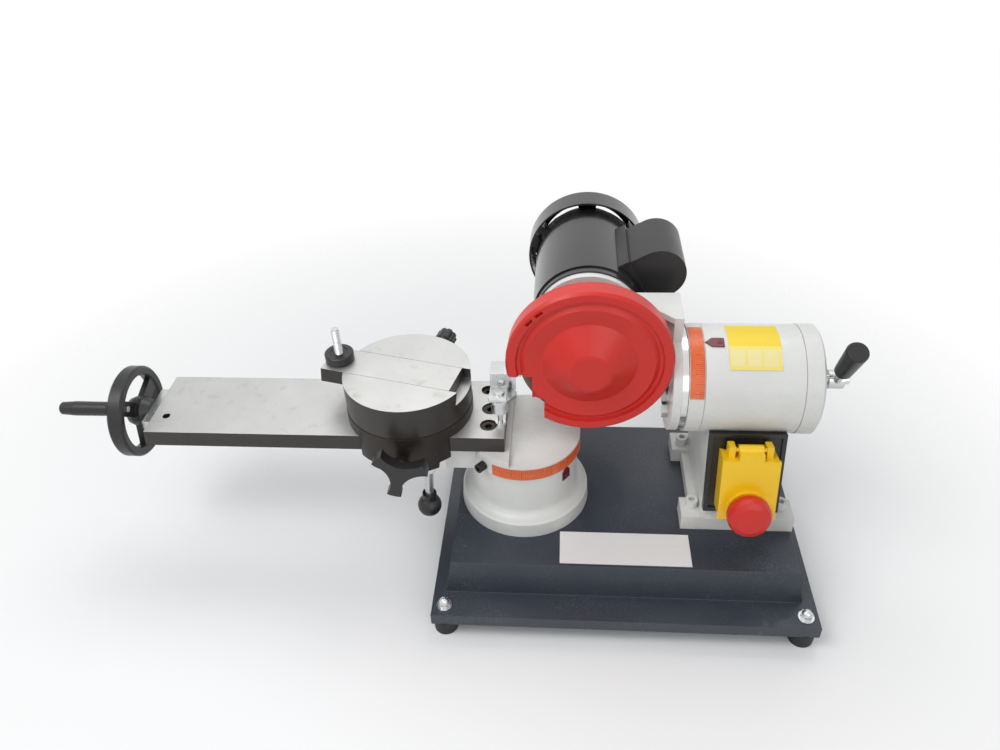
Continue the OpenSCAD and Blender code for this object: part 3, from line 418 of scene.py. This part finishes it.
def behind_switch_front(face):
    """The black mounting plate and the buried body, told from the yellow box by the leaning plane."""
    across = abs(face.center.x - centre("switch_unit").x)
    foot = centre("start_button")
    back = (face.center.y - foot.y) * cos(SWITCH_LEAN)
    depth = back - (face.center.z - foot.z) * sin(SWITCH_LEAN)
    return across > YELLOW_HALF_WIDE or depth > YELLOW_DEEP


def paint_faces(name, material, test):
    """A second material on the node's faces that pass the test."""
    mesh = NODES[name].data
    mesh.materials.append(material)
    for face in mesh.polygons:
        if test(face):
            face.material_index = len(mesh.materials) - 1


# ---- extra pieces ----
def start_mesh(name, material):
    """Name and dress the primitive just added, with its transform applied."""
    piece = bpy.context.object
    piece.name = name
    piece.data.name = name
    bpy.ops.object.transform_apply(location=True, rotation=True, scale=True)
    piece.data.materials.append(material)
    return piece


def deselect():
    bpy.ops.object.select_all(action="DESELECT")


def housing_label():
    """A thin arc of label stuck round the housing's top, cut from a tube by two planes."""
    deselect()
    bpy.ops.mesh.primitive_cylinder_add(
        vertices=256,
        radius=housing_r + 0.35 * MM,
        depth=LABEL_WIDE,
        end_fill_type="NOTHING",
        location=(label_left + LABEL_WIDE / 2, head_axis.y, head_axis.z),
        rotation=(0, pi / 2, 0),
    )
    piece = start_mesh("housing_label", LABEL)
    bpy.ops.object.mode_set(mode="EDIT")
    for angle, clears_inside in ((LABEL_FROM, False), (LABEL_TO, True)):
        normal = (0, sin(radians(angle)), cos(radians(angle)))
        bpy.ops.mesh.select_all(action="SELECT")
        bpy.ops.mesh.bisect(
            plane_co=(label_left, head_axis.y, head_axis.z),
            plane_no=normal,
            clear_inner=clears_inside,
            clear_outer=not clears_inside,
        )
    bpy.ops.mesh.select_all(action="SELECT")
    bpy.ops.mesh.normals_make_consistent(inside=False)
    bpy.ops.object.mode_set(mode="OBJECT")
    bpy.ops.object.shade_smooth()
    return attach(piece, "base")


def stud_thread():
    """The blade stud as a real thread: a core with a ridge turned round it once a pitch."""
    pitch, turns = 1.25 * MM, 27
    core, crest = 3.35 * MM, 3.95 * MM
    mid = centre("blade_stud")
    deselect()
    bpy.ops.mesh.primitive_cylinder_add(
        vertices=48, radius=core, depth=stud_high.z - stud_low.z, location=mid
    )
    piece = start_mesh("stud_thread", FINISHES["zinc_plate"])
    bpy.ops.object.mode_set(mode="EDIT")
    bpy.ops.mesh.select_all(action="DESELECT")
    foot = stud_high.z - (turns + 1.2) * pitch
    mesh = bmesh.from_edit_mesh(piece.data)
    ridge = [(core, -0.45), (crest, -0.08), (crest, 0.08), (core, 0.45)]
    points = [mesh.verts.new((mid.x + r, mid.y, foot + h * pitch)) for r, h in ridge]
    edges = [mesh.edges.new(points[i : i + 2]) for i in range(3)]
    for part in points + edges:
        part.select = True
    bmesh.update_edit_mesh(piece.data)
    steps = 28 * turns
    bmesh_screw(mesh, edges, points, mid, steps, turns, pitch)
    bmesh.update_edit_mesh(piece.data)
    bpy.ops.mesh.select_all(action="SELECT")
    bpy.ops.mesh.normals_make_consistent(inside=False)
    bpy.ops.object.mode_set(mode="OBJECT")
    bpy.ops.object.shade_smooth_by_angle(angle=radians(40))
    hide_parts("blade_stud")
    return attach(piece, "strip")


def bmesh_screw(mesh, edges, points, mid, steps, turns, pitch):
    """Sweep the ridge's outline up the stud's axis, one pitch a turn."""
    bmesh.ops.spin(
        mesh,
        geom=edges + points,
        cent=mid,
        axis=(0, 0, 1),
        dvec=(0, 0, turns * pitch / steps),
        angle=2 * pi * turns,
        steps=steps,
        use_duplicate=False,
    )


# ---- stage and light ----
def add_stage():
    """A pale floor that fades out to the white world beyond the object's shadow."""
    deselect()
    bpy.ops.mesh.primitive_plane_add(size=FLOOR_WIDE, location=(0, 0, -0.0002))
    floor = bpy.context.object
    floor.name = "studio_floor"
    f = Finish("studio_floor")
    tone = f.mix(f.noise(2, 3), (0.90, 0.90, 0.90), (0.93, 0.93, 0.93))
    reach = (f.x ** 2.0 + f.y ** 2.0) ** 0.5
    paper = f.end(tone, 0.6 + 0.1 * f.noise(5), edge=0.0001)
    skin = next(n for n in paper.node_tree.nodes if n.type == "BSDF_PRINCIPLED")
    plug(paper.node_tree, skin.inputs["Alpha"], f.band(reach, FADE_TO, FADE_FROM))
    floor.data.materials.append(paper)


def soft_light(name, place, aim, size, power):
    data = bpy.data.lights.new(name, "AREA")
    data.shape = "RECTANGLE"
    data.size, data.size_y = size
    data.energy = power
    lamp = bpy.data.objects.new(name, data)
    bpy.context.collection.objects.link(lamp)
    lamp.location = place
    lamp.rotation_euler = (Vector(aim) - Vector(place)).to_track_quat("-Z", "Y").to_euler()
    return lamp


def add_world():
    """A soft grey fill, seen as white by the camera and in metal and glass."""
    world = bpy.data.worlds.new("studio")
    bpy.context.scene.world = world
    world.use_nodes = True
    tree = world.node_tree
    tree.nodes.clear()
    path = tree.nodes.new("ShaderNodeLightPath")
    fill = tree.nodes.new("ShaderNodeBackground")
    white = tree.nodes.new("ShaderNodeBackground")
    fill.inputs["Color"].default_value = (0.95, 0.97, 1.0, 1)
    fill.inputs["Strength"].default_value = 0.42
    white.inputs["Color"].default_value = (1, 1, 1, 1)
    white.inputs["Strength"].default_value = 1.0
    either = tree.nodes.new("ShaderNodeMixShader")
    seen = (Sum(tree, path.outputs["Is Camera Ray"]) + Sum(tree, path.outputs["Is Glossy Ray"])
            + Sum(tree, path.outputs["Is Transmission Ray"])) > 0.5
    plug(tree, either.inputs[0], seen)
    tree.links.new(fill.outputs[0], either.inputs[1])
    tree.links.new(white.outputs[0], either.inputs[2])
    out = tree.nodes.new("ShaderNodeOutputWorld")
    tree.links.new(either.outputs[0], out.inputs[0])


add_camera()
add_world()
add_stage()
soft_light("key", (-0.5, -0.5, 1.3), (0, 0, 0.15), (0.9, 0.7), 9)
soft_light("front", (0.7, -1.3, 0.8), (0, 0, 0.15), (1.0, 0.8), 4)
soft_light("top", (0.1, 0.6, 1.4), (0, 0, 0.2), (1.2, 0.6), 6)
bpy.context.scene.view_settings.view_transform = "Standard"
dress_nodes()
housing_label()
stud_thread()
